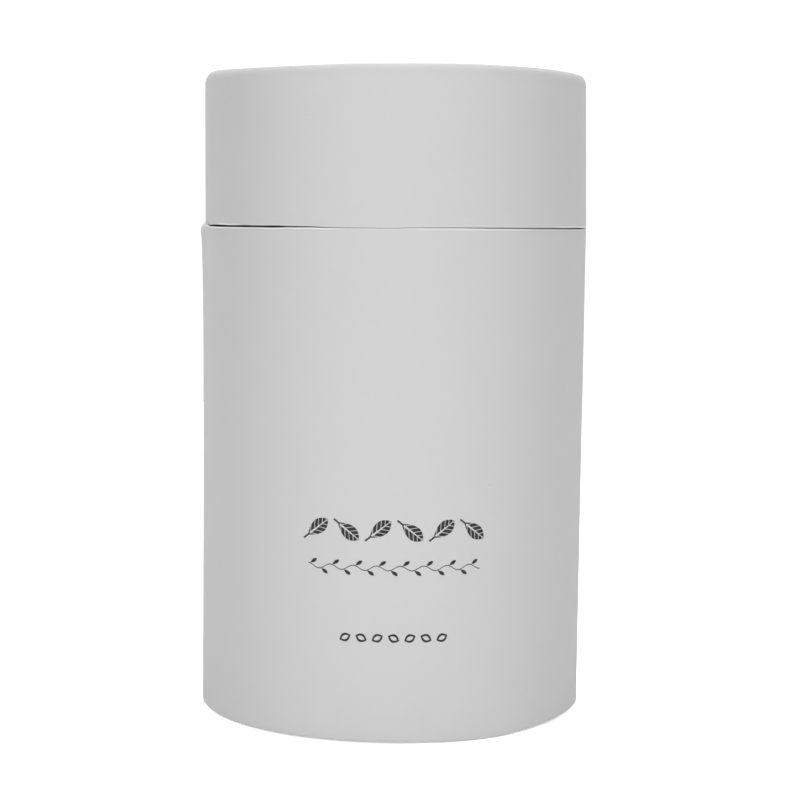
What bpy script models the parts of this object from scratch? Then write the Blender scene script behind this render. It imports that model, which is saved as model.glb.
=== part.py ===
"""A round paper tube canister with a slip lid, standing upright on its rolled foot.

The origin is the centre of the foot at the height of the surface that it stands on, +Z runs up the
tube's axis, and the printed front faces -Y. Sizes are in metres.
"""

import math

import bmesh
import bpy

# Driving dimensions
BODY_DIAMETER = 0.0730  # outside of the body tube
TOTAL_HEIGHT = 0.1200  # foot to top of the lid
BODY_HEIGHT = 0.0916  # foot to the body tube's mouth
BODY_BOARD = 0.0016  # wall of the outer tube
NECK_BOARD = 0.0012  # wall of the inner tube
DISC_BOARD = 0.0016  # thickness of both end discs
NECK_RISE = 0.0210  # how far the inner tube stands above the body's mouth
LID_MOUTH_DIAMETER = 0.0728
LID_TOP_DIAMETER = 0.0723  # the lid draws in slightly towards its top
GAP = 0.0003  # play between neighbouring pieces

# Rolled ends
ROLL_WIDTH = 0.0038  # from the outside of the tube to the inner side of the rolled edge
ROLL_DEPTH = 0.0030  # how far the rolled edge reaches in along the axis
ROLL_INNER_ROUND = 0.0008  # inner corners of the rolled edge
FOOT_ROUND = 0.0010  # outer corner of the rolled foot
RIM_ROUND_ACROSS = 0.0012  # outer corner of the lid's rolled rim, measured across
RIM_ROUND_DOWN = 0.0017  # and down the side
CUT_EDGE = 0.0003  # softened corners of cut board

# Fineness
SEGMENTS = 72  # round the axis
ROUND_STEPS = 5  # along an outer corner
INNER_ROUND_STEPS = 2  # along an inner corner
WELD = 0.00001  # joins a disc's profile where it meets the axis
SMOOTH_UNDER = math.radians(40)  # flatter edges than this are shaded smooth

# Radii and heights that follow
BODY_RADIUS = BODY_DIAMETER / 2
BODY_BORE = BODY_RADIUS - BODY_BOARD
NECK_RADIUS = BODY_BORE - GAP
NECK_BORE = NECK_RADIUS - NECK_BOARD
FOOT_BORE = BODY_RADIUS - ROLL_WIDTH
BASE_BOTTOM = ROLL_DEPTH + GAP
BASE_TOP = BASE_BOTTOM + DISC_BOARD
NECK_BOTTOM = BASE_TOP + GAP
NECK_TOP = BODY_HEIGHT + NECK_RISE
LID_MOUTH_RADIUS = LID_MOUTH_DIAMETER / 2
LID_TOP_RADIUS = LID_TOP_DIAMETER / 2
LID_BORE = NECK_RADIUS + GAP
LID_MOUTH = BODY_HEIGHT + GAP
RIM_BORE = LID_TOP_RADIUS - ROLL_WIDTH
RIM_UNDERSIDE = TOTAL_HEIGHT - ROLL_DEPTH
LID_DISC_TOP = RIM_UNDERSIDE - GAP
LID_DISC_BOTTOM = LID_DISC_TOP - DISC_BOARD
DISC_RADIUS = BODY_BORE - GAP

# Colours, as linear values
WRAP_GREY = (0.62, 0.62, 0.62, 1.0)
LINER_WHITE = (0.72, 0.71, 0.68, 1.0)
BOARD_GREY = (0.50, 0.49, 0.46, 1.0)
PAPER_ROUGHNESS = 0.85


def clear_scene():
    """Removes what a new file holds."""
    for old in list(bpy.data.objects):
        bpy.data.objects.remove(old, do_unlink=True)


def paper(name, colour):
    """A matte paper material."""
    material = bpy.data.materials.new(name)
    material.use_nodes = True
    shader = material.node_tree.nodes["Principled BSDF"]
    shader.inputs["Base Color"].default_value = colour
    shader.inputs["Roughness"].default_value = PAPER_ROUGHNESS
    shader.inputs["Metallic"].default_value = 0.0
    return material


def corner(radius, height, across, down, start, steps):
    """Points of a quarter turn round (radius, height), clockwise from the angle start in degrees."""
    points = []
    for step in range(steps + 1):
        angle = math.radians(start - 90 * step / steps)
        points.append((radius + across * math.cos(angle), height + down * math.sin(angle)))
    return points


def outer_top(radius, height, across, down, steps):
    """The corner where a flat top turns down the outer side."""
    return corner(radius - across, height - down, across, down, 90, steps)


def outer_bottom(radius, height, size, steps):
    """The corner where the outer side turns in under the piece."""
    return corner(radius - size, height + size, size, size, 0, steps)


def inner_bottom(radius, height, size, steps):
    """The corner where the underside turns up the inner side."""
    return corner(radius + size, height + size, size, size, 270, steps)


def inner_top(radius, height, size, steps):
    """The corner where the inner side turns out over the top."""
    return corner(radius + size, height - size, size, size, 180, steps)


def turned(name, profile, ring, material, collection):
    """Turns a profile of (radius, height) points, outer side downwards, into a solid.

    A ring's profile closes on itself. Any other profile starts and ends on the axis.
    """
    outline = bmesh.new()
    points = [outline.verts.new((radius, 0.0, height)) for radius, height in profile]
    for first, second in zip(points, points[1:]):
        outline.edges.new((first, second))
    if ring:
        outline.edges.new((points[-1], points[0]))
    mesh = bpy.data.meshes.new(name)
    outline.to_mesh(mesh)
    outline.free()

    piece = bpy.data.objects.new(name, mesh)
    collection.objects.link(piece)
    screw = piece.modifiers.new("Turn", "SCREW")
    screw.axis = "Z"
    screw.angle = math.tau
    screw.steps = SEGMENTS
    screw.render_steps = SEGMENTS
    screw.use_merge_vertices = True
    screw.merge_threshold = WELD

    graph = bpy.context.evaluated_depsgraph_get()
    solid = bpy.data.meshes.new_from_object(piece.evaluated_get(graph))
    piece.modifiers.clear()
    piece.data = solid
    bpy.data.meshes.remove(mesh)
    solid.name = name
    solid.shade_smooth()
    solid.set_sharp_from_angle(angle=SMOOTH_UNDER)
    solid.materials.append(material)
    return piece


def make_body_tube(material, collection):
    profile = outer_top(BODY_RADIUS, BODY_HEIGHT, CUT_EDGE, CUT_EDGE, INNER_ROUND_STEPS)
    profile += outer_bottom(BODY_RADIUS, 0.0, FOOT_ROUND, ROUND_STEPS)
    profile += inner_bottom(FOOT_BORE, 0.0, ROLL_INNER_ROUND, INNER_ROUND_STEPS)
    profile += inner_top(FOOT_BORE, ROLL_DEPTH, ROLL_INNER_ROUND, INNER_ROUND_STEPS)
    profile += [(BODY_BORE, ROLL_DEPTH), (BODY_BORE, BODY_HEIGHT)]
    return turned("body_tube", profile, True, material, collection)


def make_inner_tube(material, collection):
    profile = outer_top(NECK_RADIUS, NECK_TOP, CUT_EDGE, CUT_EDGE, INNER_ROUND_STEPS)
    profile += [(NECK_RADIUS, NECK_BOTTOM), (NECK_BORE, NECK_BOTTOM)]
    profile += inner_top(NECK_BORE, NECK_TOP, CUT_EDGE, INNER_ROUND_STEPS)
    return turned("inner_tube", profile, True, material, collection)


def make_lid_tube(material, collection):
    profile = outer_top(
        LID_TOP_RADIUS, TOTAL_HEIGHT, RIM_ROUND_ACROSS, RIM_ROUND_DOWN, ROUND_STEPS
    )
    profile += outer_bottom(LID_MOUTH_RADIUS, LID_MOUTH, CUT_EDGE, INNER_ROUND_STEPS)
    profile += [(LID_BORE, LID_MOUTH), (LID_BORE, RIM_UNDERSIDE)]
    profile += inner_bottom(RIM_BORE, RIM_UNDERSIDE, ROLL_INNER_ROUND, INNER_ROUND_STEPS)
    profile += inner_top(RIM_BORE, TOTAL_HEIGHT, ROLL_INNER_ROUND, INNER_ROUND_STEPS)
    return turned("lid_tube", profile, True, material, collection)


def make_disc(name, bottom, material, collection):
    top = bottom + DISC_BOARD
    profile = [(0.0, top)]
    profile += outer_top(DISC_RADIUS, top, CUT_EDGE, CUT_EDGE, INNER_ROUND_STEPS)
    profile += outer_bottom(DISC_RADIUS, bottom, CUT_EDGE, INNER_ROUND_STEPS)
    profile += [(0.0, bottom)]
    return turned(name, profile, False, material, collection)


def main():
    clear_scene()
    canister = bpy.data.collections.new("paper_tube_canister")
    bpy.context.scene.collection.children.link(canister)

    make_body_tube(paper("body_wrap", WRAP_GREY), canister)
    make_disc("base_disc", BASE_BOTTOM, paper("base_board", BOARD_GREY), canister)
    make_inner_tube(paper("neck_liner", LINER_WHITE), canister)
    make_lid_tube(paper("lid_wrap", WRAP_GREY), canister)
    make_disc("lid_disc", LID_DISC_BOTTOM, paper("lid_board", WRAP_GREY), canister)


main()
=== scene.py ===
"""Dresses a round paper tube canister: wrapped tubes with rolled ends, end discs, neck and slip lid.

Sizes are in metres in the canister's own frame. The centre of the foot is the origin, +Z runs up to
the lid, and the printed front faces -Y. A turn is an angle round the axis, 0 at the front and growing
towards +X. A share runs from 0 to 1.
"""

import math

import bmesh
import bpy
from bpy.props import FloatProperty, FloatVectorProperty, IntProperty, PointerProperty
from mathutils import Matrix, Vector


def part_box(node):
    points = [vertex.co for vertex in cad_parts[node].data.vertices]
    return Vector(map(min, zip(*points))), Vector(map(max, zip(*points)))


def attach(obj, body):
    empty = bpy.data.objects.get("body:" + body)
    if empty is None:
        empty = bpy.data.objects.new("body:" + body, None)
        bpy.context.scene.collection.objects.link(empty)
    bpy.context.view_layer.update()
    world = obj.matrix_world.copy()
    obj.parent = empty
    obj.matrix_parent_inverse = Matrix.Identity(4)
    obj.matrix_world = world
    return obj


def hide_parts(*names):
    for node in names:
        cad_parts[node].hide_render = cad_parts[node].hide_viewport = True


bl_info = {
    "name": "Paper Tube Canister",
    "version": (1, 0, 0),
    "blender": (4, 5, 0),
    "location": "3D View > Sidebar > Canister",
    "description": "Builds the finished pieces of a paper tube canister and a studio to show it in",
    "category": "Object",
}

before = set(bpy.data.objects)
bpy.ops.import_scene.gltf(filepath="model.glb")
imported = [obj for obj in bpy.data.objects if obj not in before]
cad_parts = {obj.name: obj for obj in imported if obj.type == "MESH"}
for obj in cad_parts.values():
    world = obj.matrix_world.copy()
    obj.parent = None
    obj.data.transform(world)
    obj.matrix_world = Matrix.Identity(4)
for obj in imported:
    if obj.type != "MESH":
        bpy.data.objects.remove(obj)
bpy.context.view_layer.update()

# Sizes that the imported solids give
BODY_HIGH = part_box("body_tube")[1]
NECK_LOW, NECK_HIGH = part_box("inner_tube")
BASE_LOW, BASE_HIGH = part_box("base_disc")
LID_LOW, LID_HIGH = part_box("lid_tube")
LID_DISC_LOW, LID_DISC_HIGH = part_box("lid_disc")
PLAY = NECK_LOW.z - BASE_HIGH.z  # the gap that neighbouring solids keep
BODY_RADIUS = BODY_HIGH.x
BODY_MOUTH = BODY_HIGH.z
LID_MOUTH = LID_LOW.z
LID_RADIUS = LID_HIGH.x
TOP = LID_HIGH.z
NECK_RADIUS = NECK_HIGH.x
BORE = NECK_RADIUS + PLAY
FOOT_ROLL_TOP = BASE_LOW.z - PLAY
RIM_ROLL_BOTTOM = LID_DISC_HIGH.z + PLAY

MM = 0.001
FULL_TURN = math.tau


def held(value):
    """The value held between 0 and 1."""
    return min(1.0, max(0.0, value))


def climb(strip, girth):
    """How far up one turn of a winding climbs, for a strip of that width round that girth."""
    return strip / math.sqrt(1.0 - (strip / girth) ** 2)


# Marks that a section's points carry for the node tree and the materials, each a share
RAW_EDGE_OR_FOOT_LIGHT = "cut"  # raw edge of cut board or paper, and painted light on the foot's downward-facing rounding that lifts its shade
WORN = "worn"  # paper along a cut edge, where its white core shows in patches
BARE = "bare"  # board that no wrapping paper covers
PAINTED_RIM_SHADE = "greyed"  # painted shade round the lid's rolled rim, darkening the band that light from above makes brightest
ROLLED = "rolled"  # paper turned in round a rolled end, where it creases
WRAPPED = "wrapped"  # outer paper, whose two ends overlap along a lap
MOUTH = "mouth"  # follows the uneven seam between the lid and the body
FOOT = "foot"  # follows the uneven edge of the rolled foot
# Marks that are not shares
CREASE_OUT = "crease_out"  # the way outwards that a crease sinks into a roll
CREASE_UP = "crease_up"  # and the way upwards
LIP_OUT = "lip_out"  # how far the bent lip throws the point outwards
LIP_UP = "lip_up"  # and upwards
ALONG = "along"  # how far round the section the point is
SURFACE_MARKS = (RAW_EDGE_OR_FOOT_LIGHT, WORN, BARE, PAINTED_RIM_SHADE, ROLLED)
MARKS = (*SURFACE_MARKS, WRAPPED, MOUTH, FOOT, CREASE_OUT, CREASE_UP, LIP_OUT, LIP_UP)
BAKE_MAP = "OFBake"  # name of the texture map that the node tree stores; the texture map that the export looks for


# ---------------------------------------------------------------- Properties


def number(description, default, **more):
    """A setting that is a plain number."""
    return FloatProperty(description=description, default=default, **more)


def length(description, millimetres):
    """A length, given here in millimetres."""
    return number(description, millimetres * MM, unit="LENGTH", precision=5)


def angle(description, degrees):
    """An angle, given here in degrees."""
    return number(description, math.radians(degrees), subtype="ANGLE")


def power(description, default):
    """A light's power, in watts."""
    return number(description, default, min=0.0, subtype="POWER")


def count(description, default, **more):
    """A whole number."""
    return IntProperty(description=description, default=default, **more)


def colour(description, default):
    """A colour, as three linear values."""
    limits = {"size": 3, "min": 0.0, "max": 1.0}
    return FloatVectorProperty(description=description, default=default, subtype="COLOR", **limits)


class CanisterSizes(bpy.types.PropertyGroup):
    """Sizes that the pieces' cut sections are drawn from"""

    segments: count("Steps round the axis", 720, min=24, max=960)
    roll_width: length("From the outside of a tube to the inside of its rolled end", 3.8)
    roll_round: length("Inner corners of a rolled end", 1.1)
    foot_round: length("Outer corner of the rolled foot", 0.3)
    rim_across: length("The wide bend of the rim's outer corner, across", 1.5)
    rim_down: length("The same bend, down the side", 2.1)
    rim_turn: angle("How far the wide bend turns before the fold", 55.0)
    rim_fold: length("The tighter fold where the corner meets the top", 0.5)
    rim_dip: length("How far the lid's wall dips under its rolled rim", 0.04)
    lid_taper: length("How much the lid's radius shrinks towards its top", 0.22)
    cut_round: length("Softened corners of cut board", 0.07)
    neck_board: length("Wall of the inner tube", 1.2)
    disc_dish: length("How far an end disc dips in its middle", 0.25)
    press_ring: length("Radius of the ring that the press leaves in a disc", 27.5)


class CanisterFit(bpy.types.PropertyGroup):
    """How the pieces sit together, and where they are uneven"""

    seam_height: length("Middle of the seam between lid and body", 91.73)
    seam_wave: length("How far the seam wanders up and down", 0.14)
    seam_gap: length("The seam's gap where it is widest", 0.42)
    seam_ripple: length("Small unevenness of the two cut edges at the seam", 0.07)
    rim_wave: length("How far the lid's rolled rim wanders up and down", 0.4)
    foot_lift: length("How far the foot's outer edge lifts where it lifts most", 1.0)
    foot_shift: length("How far the foot sits towards +X", -0.12)
    body_lean: number("Shift towards +X for each metre up", 0.0013)
    lid_shift: length("How far the lid's mouth sits towards +X", 0.15)
    lid_lean: number("Shift towards +X for each metre up", -0.0125)
    lip_turn: angle("Where the body's mouth is bent outwards", -95.0)
    lip_spread: angle("Half the stretch that is bent", 22.0)
    body_lap_turn: angle("Where the body's paper overlaps", 176.25)
    lid_lap_turn: angle("Where the lid's paper overlaps", -159.75)
    lap_width: length("Overlap of the wrapping paper", 9.0)
    lap_step: length("Thickness of the wrapping paper", 0.14)
    crease: length("Depth of the creases in paper turned in round a rolled end", 0.16)
    ply_width: length("Width of the strip that the inner tube is wound from", 98.0)
    ply_gap: length("Depth of the joint between its windings", 0.12)


class CanisterPaper(bpy.types.PropertyGroup):
    """Colours of the papers, the board and the ink"""

    wrap: colour("Matte wrapping paper", (0.565, 0.565, 0.566))
    wrap_shade: colour("Its darker fibres", (0.535, 0.535, 0.536))
    ink: colour("Printing", (0.016, 0.016, 0.017))
    cut: colour("Raw paper at a cut edge", (0.860, 0.857, 0.850))
    liner: colour("White paper that lines the inner tube", (0.740, 0.737, 0.725))
    board: colour("Grey pressed board", (0.430, 0.418, 0.392))
    board_shade: colour("Its darker fibres", (0.290, 0.279, 0.256))


class CanisterPrint(bpy.types.PropertyGroup):
    """Where the printed rows stand"""

    leaf_height: length("Middle of the row of leaves", 38.5)
    leaf_pitch: length("From one leaf to the next", 5.7)
    leaf_count: count("Leaves in the row", 6, min=1)
    vine_height: length("Middle of the fine vine", 31.8)
    vine_pitch: length("From one of the vine's leaves to the next", 2.1)
    vine_count: count("Leaves on the vine", 15, min=1)
    seed_height: length("Middle of the row of seeds", 19.25)
    seed_pitch: length("From one seed to the next", 2.9)
    seed_count: count("Seeds in the row", 7, min=1)
    middle: length("Middle of the printing, round the front towards +X", 0.5)


class CanisterStudio(bpy.types.PropertyGroup):
    """Light of the studio"""

    sky: number("Light of the white surroundings", 0.03, min=0.0)
    floor_glow: number("How much the white floor glows to the eye", 0.62, min=0.0)
    tent_light: power("The wide light that floods the floor from above", 3.0)
    top_light: power("The nearer light overhead", 5.6)
    front_light: power("The soft light in front", 8.8)
    left_light: power("The soft light behind and to the left", 5.6)
    right_light: power("The soft light behind and to the right", 4.85)


GROUPS = {
    "canister_sizes": CanisterSizes,
    "canister_fit": CanisterFit,
    "canister_paper": CanisterPaper,
    "canister_print": CanisterPrint,
    "canister_studio": CanisterStudio,
}


# ---------------------------------------------------------------- Node arithmetic


def adding(operation, swapped=False):
    """A method of Field that adds one node to work out that operation."""

    def method(self, other):
        return self.graph.math(operation, *((other, self) if swapped else (self, other)))

    return method


class Field:
    """A number that nodes work out. Ordinary arithmetic on it adds nodes."""

    def __init__(self, graph, socket):
        self.graph = graph
        self.socket = socket

    __add__ = __radd__ = adding("ADD")
    __sub__ = adding("SUBTRACT")
    __rsub__ = adding("SUBTRACT", swapped=True)
    __mul__ = adding("MULTIPLY")
    __truediv__ = adding("DIVIDE")
    __lt__ = adding("LESS_THAN")
    __gt__ = adding("GREATER_THAN")

    def __abs__(self):
        return self.graph.math("ABSOLUTE", self)


class Graph:
    """Adds linked nodes to a node tree."""

    def __init__(self, tree):
        self.tree = tree

    def plug(self, value, socket):
        """Sets an input: a link from a field or a socket, and otherwise a fixed value."""
        if isinstance(value, Field):
            value = value.socket
        if isinstance(value, bpy.types.NodeSocket):
            self.tree.links.new(value, socket)
        else:
            socket.default_value = value

    def add(self, kind, inputs=None, **settings):
        """A new node: first its settings, then its inputs, each by its name or number."""
        node = self.tree.nodes.new(kind)
        for name, value in settings.items():
            setattr(node, name, value)
        for name, value in (inputs or {}).items():
            self.plug(value, node.inputs[name])
        return node

    def field(self, node, output=0):
        return Field(self, node.outputs[output])

    def math(self, operation, *values):
        node = self.add("ShaderNodeMath", dict(enumerate(values)), operation=operation)
        return self.field(node)

    def whole(self, operation, *values):
        """Arithmetic on whole numbers."""
        node = self.add("FunctionNodeIntegerMath", dict(enumerate(values)), operation=operation)
        return self.field(node)

    def ramp(self, value, start, end):
        """0 at start and 1 at end, with a soft rise between."""
        inputs = {"Value": value, "From Min": start, "From Max": end}
        return self.field(self.add("ShaderNodeMapRange", inputs, interpolation_type="SMOOTHSTEP"))

    def limited(self, value):
        """The value held between 0 and 1."""
        return self.field(self.add("ShaderNodeClamp", {"Value": value}))

    def larger(self, first, *others):
        for other in others:
            first = self.math("MAXIMUM", first, other)
        return first

    def apart(self, turn, other):
        """The signed angle from other to turn, the shorter way round."""
        return self.math("WRAP", turn - other, -math.pi, math.pi)

    def vector(self, x, y, z):
        return self.add("ShaderNodeCombineXYZ", {"X": x, "Y": y, "Z": z}).outputs[0]

    def parts(self, vector):
        node = self.add("ShaderNodeSeparateXYZ", {"Vector": vector})
        return [self.field(node, output) for output in range(3)]

    def noise(self, vector, scale, detail=2.0, roughness=0.5):
        inputs = {"Vector": vector, "Scale": scale, "Detail": detail, "Roughness": roughness}
        return self.field(self.add("ShaderNodeTexNoise", inputs))

    def curve(self, value, points):
        """A curve through given points of (value, result), level at the ends."""
        node = self.add("ShaderNodeFloatCurve", {"Value": value})
        curve = node.mapping.curves[0]
        curve.points[0].location = points[0]
        curve.points[1].location = points[-1]
        for point in points[1:-1]:
            curve.points.new(*point)
        for point in curve.points:
            point.handle_type = "AUTO_CLAMPED"
        node.mapping.update()
        return self.field(node)

    def mixed(self, factor, first, second):
        """A colour between two. Each is a socket or three values."""
        node = self.add("ShaderNodeMix", {0: factor}, data_type="RGBA")
        for value, place in ((first, 6), (second, 7)):
            if not isinstance(value, bpy.types.NodeSocket):
                value = (*value, 1.0)
            self.plug(value, node.inputs[place])
        return node.outputs[2]

    def stored(self, geometry, name, value, kind="FLOAT", domain="POINT"):
        """The geometry with a value stored on it under a name."""
        inputs = {"Geometry": geometry, "Name": name, "Value": value}
        node = self.add("GeometryNodeStoreNamedAttribute", inputs, data_type=kind, domain=domain)
        return node.outputs[0]

    def named(self, name, kind="FLOAT"):
        """What is stored under a name."""
        return self.add("GeometryNodeInputNamedAttribute", {"Name": name}, data_type=kind).outputs[0]


# ---------------------------------------------------------------- Cut sections

WALL_STEPS = 36  # up a wall
ROUND_STEPS = 8  # round a rolled end's corner
CORNER_STEPS = 4  # round a cut edge's softened corner
FLAT_STEPS = 4  # across the edge of a board
CREASE_START = 0.8 * MM  # how far in from a tube's outside its paper starts to crease
CREASE_REACH = 1.8 * MM  # and how much further in it creases all the way
BARE_SAVING = 0.7  # share of its length that bare board gives up in the texture map


class Section:
    """Points of (radius, height, marks) round a turned piece's cut section, outer side upwards."""

    def __init__(self):
        self.points = []
        self.closed = False

    def add(self, radius, height, **marks):
        """One point, with the marks that it carries."""
        self.points.append((radius, height, marks))

    def line(self, start, end, steps, crowding=1.0, **marks):
        """Points from start to just before end. A crowding above 1 brings them closer at the start."""
        for step in range(steps):
            share = (step / steps) ** crowding
            radius = start[0] + (end[0] - start[0]) * share
            height = start[1] + (end[1] - start[1]) * share
            self.add(radius, height, **marks)

    def bend(self, centre, across, along, start, sweep, steps, **marks):
        """Points of an elliptical bend without its end. Angles are in degrees, 0 outwards, 90 upwards."""
        for step in range(steps):
            turn = math.radians(start + sweep * step / steps)
            radius = centre[0] + across * math.cos(turn)
            height = centre[1] + along * math.sin(turn)
            self.add(radius, height, **marks)

    def corner(self, centre, size, start, sweep=90, steps=CORNER_STEPS, **marks):
        """A round bend, as on a softened corner."""
        self.bend(centre, size, size, start, sweep, steps, **marks)

    def roll(self, inner, low, high, size):
        """The inner side of a rolled end, from its top to its underside."""
        self.corner((inner + size, high - size), size, 90, steps=ROUND_STEPS, rolled=1.0)
        self.line((inner, high - size), (inner, low + size), FLAT_STEPS, rolled=1.0)
        self.corner((inner + size, low + size), size, 180, steps=ROUND_STEPS, rolled=1.0)

    def close(self):
        """Ends a ring's section where it started."""
        self.points.append(self.points[0])
        self.closed = True

    def weigh(self, mark, rule):
        """Sets a mark of every point from its radius and height."""
        for radius, height, marks in self.points:
            marks[mark] = rule(radius, height)

    def crease(self, outer):
        """Lets a closed ring's rolled paper crease deeper the further it is turned in from outer."""
        ring = self.points[:-1]
        for number, (radius, height, marks) in enumerate(ring):
            before, after = ring[number - 1], ring[(number + 1) % len(ring)]
            across, up = after[0] - before[0], after[1] - before[1]
            turned_in = held((outer - radius - CREASE_START) / CREASE_REACH)
            marks[ROLLED] = marks.get(ROLLED, 0.0) * turned_in * turned_in
            marks[CREASE_OUT] = -marks[ROLLED] * up / math.hypot(across, up)
            marks[CREASE_UP] = marks[ROLLED] * across / math.hypot(across, up)

    def to_mesh(self, name):
        """The section as a line of edges that carries its marks."""
        mesh = bpy.data.meshes.new(name)
        places = [(radius, 0.0, height) for radius, height, marks in self.points]
        edges = [(number, number + 1) for number in range(len(places) - 1)]
        mesh.from_pydata(places, edges, [])
        for mark in MARKS:
            values = [marks.get(mark, 0.0) for radius, height, marks in self.points]
            mesh.attributes.new(mark, "FLOAT", "POINT").data.foreach_set("value", values)
        mesh.attributes.new(ALONG, "FLOAT", "POINT").data.foreach_set("value", self.shares_along())
        return mesh

    def shares_along(self):
        """How far along the section each point is, as a share. Bare board counts for less."""
        reached = [0.0]
        for (radius, height, marks), after in zip(self.points, self.points[1:]):
            step = math.hypot(after[0] - radius, after[1] - height)
            reached.append(reached[-1] + step * (1.0 - marks.get(BARE, 0.0) * BARE_SAVING))
        return [reach / reached[-1] for reach in reached]


# ---------------------------------------------------------------- Turning

# Inputs of the node tree, each with its value where a piece doesn't set it
TURNING_INPUTS = {
    "Segments": 720,
    "Winding": 0.0,  # turns that the grid twists for each metre up
    "Rim Height": 1.0,
    "Lip Spread": 1.0,
    "Lap Width": 1.0,
    "Seam Half Gap": 0.0,  # above the seam's middle, or below it where negative
    **dict.fromkeys(("Winding Joint", "Shift", "Lean", "Lean From", "Rim Wave", "Foot Lift"), 0.0),
    **dict.fromkeys(("Lip Turn", "Lap Turn", "Lap Step", "Mouth Height", "Seam Height"), 0.0),
    **dict.fromkeys(("Seam Wave", "Seam Ripple", "Crease", "Unevenness", "Seed"), 0.0),
    "Material": None,
}
SOCKET_KINDS = {int: "NodeSocketInt", float: "NodeSocketFloat", type(None): "NodeSocketMaterial"}
# Curves of (share of the way round, share). They start at the back and pass -X, the front and +X.
# The height of the seam's middle, where 0.5 is level
SEAM_WAVE = (
    (0.0, 0.5), (0.2, 0.3), (0.297, 0.04), (0.318, 0.1), (0.333, 0.07), (0.354, 0.08), (0.366, 0.16),
    (0.38, 0.16), (0.4, 0.3), (0.42, 0.33), (0.432, 0.38), (0.44, 0.27), (0.455, 0.14), (0.49, 0.15),
    (0.508, 0.5), (0.53, 0.7), (0.573, 0.85), (0.65, 0.75), (0.72, 0.7), (0.85, 0.5), (1.0, 0.5),
)
# The gap at the seam
SEAM_GAP = (
    (0.0, 0.42), (0.15, 0.55), (0.22, 0.5), (0.26, 0.2), (0.293, 0.06), (0.298, 0.2), (0.303, 0.8),
    (0.314, 0.84), (0.333, 0.88), (0.343, 0.8), (0.354, 0.86), (0.364, 0.88), (0.382, 0.66), (0.398, 0.9),
    (0.407, 0.8), (0.413, 0.5), (0.421, 0.56), (0.431, 0.45), (0.44, 0.37), (0.453, 0.19), (0.49, 0.12),
    (0.515, 0.2), (0.55, 0.3), (0.585, 0.39), (0.63, 0.42), (0.68, 0.54), (0.7, 0.46), (0.71, 0.4),
    (0.716, 0.1), (0.738, 0.02), (0.785, 0.03), (0.815, 0.3), (0.9, 0.45), (1.0, 0.42),
)
# How much of the paper's white core shows along the two cut edges at the seam
LID_WORN = (
    (0.0, 0.5), (0.2, 0.4), (0.296, 0.15), (0.314, 0.25), (0.329, 0.8), (0.341, 0.9), (0.351, 1.0),
    (0.372, 1.0), (0.388, 0.9), (0.4, 0.6), (0.412, 0.7), (0.421, 0.95), (0.431, 0.7), (0.442, 0.7),
    (0.453, 0.8), (0.48, 0.3), (0.517, 0.6), (0.556, 0.25), (0.583, 0.45), (0.632, 0.4),
    (0.652, 0.6), (0.7, 0.6), (0.8, 0.5), (1.0, 0.5),
)
BODY_WORN = (
    (0.0, 0.5), (0.2, 0.5), (0.296, 0.85), (0.314, 1.0), (0.353, 1.0), (0.364, 0.8), (0.382, 0.5),
    (0.39, 0.8), (0.405, 0.85), (0.413, 0.6), (0.423, 0.9), (0.441, 0.9), (0.453, 0.7), (0.47, 0.15),
    (0.504, 0.2), (0.517, 0.5), (0.529, 0.7), (0.556, 0.7), (0.583, 0.7), (0.598, 0.55),
    (0.614, 0.3), (0.632, 0.1), (0.7, 0.0), (0.78, 0.5), (1.0, 0.5),
)
# The height of the lid's rolled rim, where 0.5 is level
RIM_WAVE = (
    (0.0, 0.5), (0.12, 0.5), (0.25, 0.42), (0.272, 0.38), (0.282, 0.49), (0.29, 0.6), (0.303, 0.6),
    (0.32, 0.54), (0.335, 0.47), (0.39, 0.26), (0.417, 0.3), (0.45, 0.42), (0.47, 0.56),
    (0.49, 0.58), (0.521, 0.71), (0.556, 0.85), (0.595, 0.9), (0.64, 0.88), (0.67, 0.83),
    (0.7, 0.8), (0.713, 0.82), (0.725, 0.88), (0.75, 0.92), (0.85, 0.65), (1.0, 0.5),
)
# How far the foot's outer edge is lifted
FOOT_WAVE = (
    (0.0, 0.3), (0.15, 0.12), (0.25, 0.0), (0.275, 0.01), (0.284, 0.07), (0.292, 0.22), (0.305, 0.26),
    (0.335, 0.25), (0.36, 0.29), (0.38, 0.34), (0.4, 0.39), (0.42, 0.43), (0.447, 0.5), (0.474, 0.52),
    (0.5, 0.47), (0.526, 0.38), (0.552, 0.15), (0.58, 0.04), (0.611, 0.38), (0.636, 0.56),
    (0.657, 0.69), (0.674, 0.81), (0.688, 0.82), (0.703, 0.79), (0.717, 0.54), (0.733, 0.28),
    (0.75, 0.2), (0.85, 0.3), (1.0, 0.3),
)
RIM_WAVE_REACH = 34.0 * MM  # the radius inside which the rim's wave dies away
RIPPLE_SCALE = 9.0  # ripples come about this many to a radian
LIP_WALL_SHARE = 0.5  # share of the lip's spread where the wall is bent all the way
LIP_EDGE_SHARE = 0.86  # and where its edge is
LIP_UNWORN = 0.8  # how much less the bent lip's edge is worn
CREASE_SCALE = 21.0  # creases come about this many to a radian
CREASE_HALF = 0.13  # how far the noise is from its middle where a crease has faded out
UNEVEN_SCALE = 1.6  # swellings of the paper come about this many to a radian
UNEVEN_RISE = 28.0  # and this many to a metre up
JOINT_HALF = 0.45 * MM  # half the width of the joint between windings
FRONT_WIDENING = 0.5  # how much wider than its share the printed front is in the texture map
WELD = 1e-6  # joins the grid where it meets itself
SMOOTH_UNDER = math.radians(35)  # flatter edges than this are shaded smooth


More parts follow.
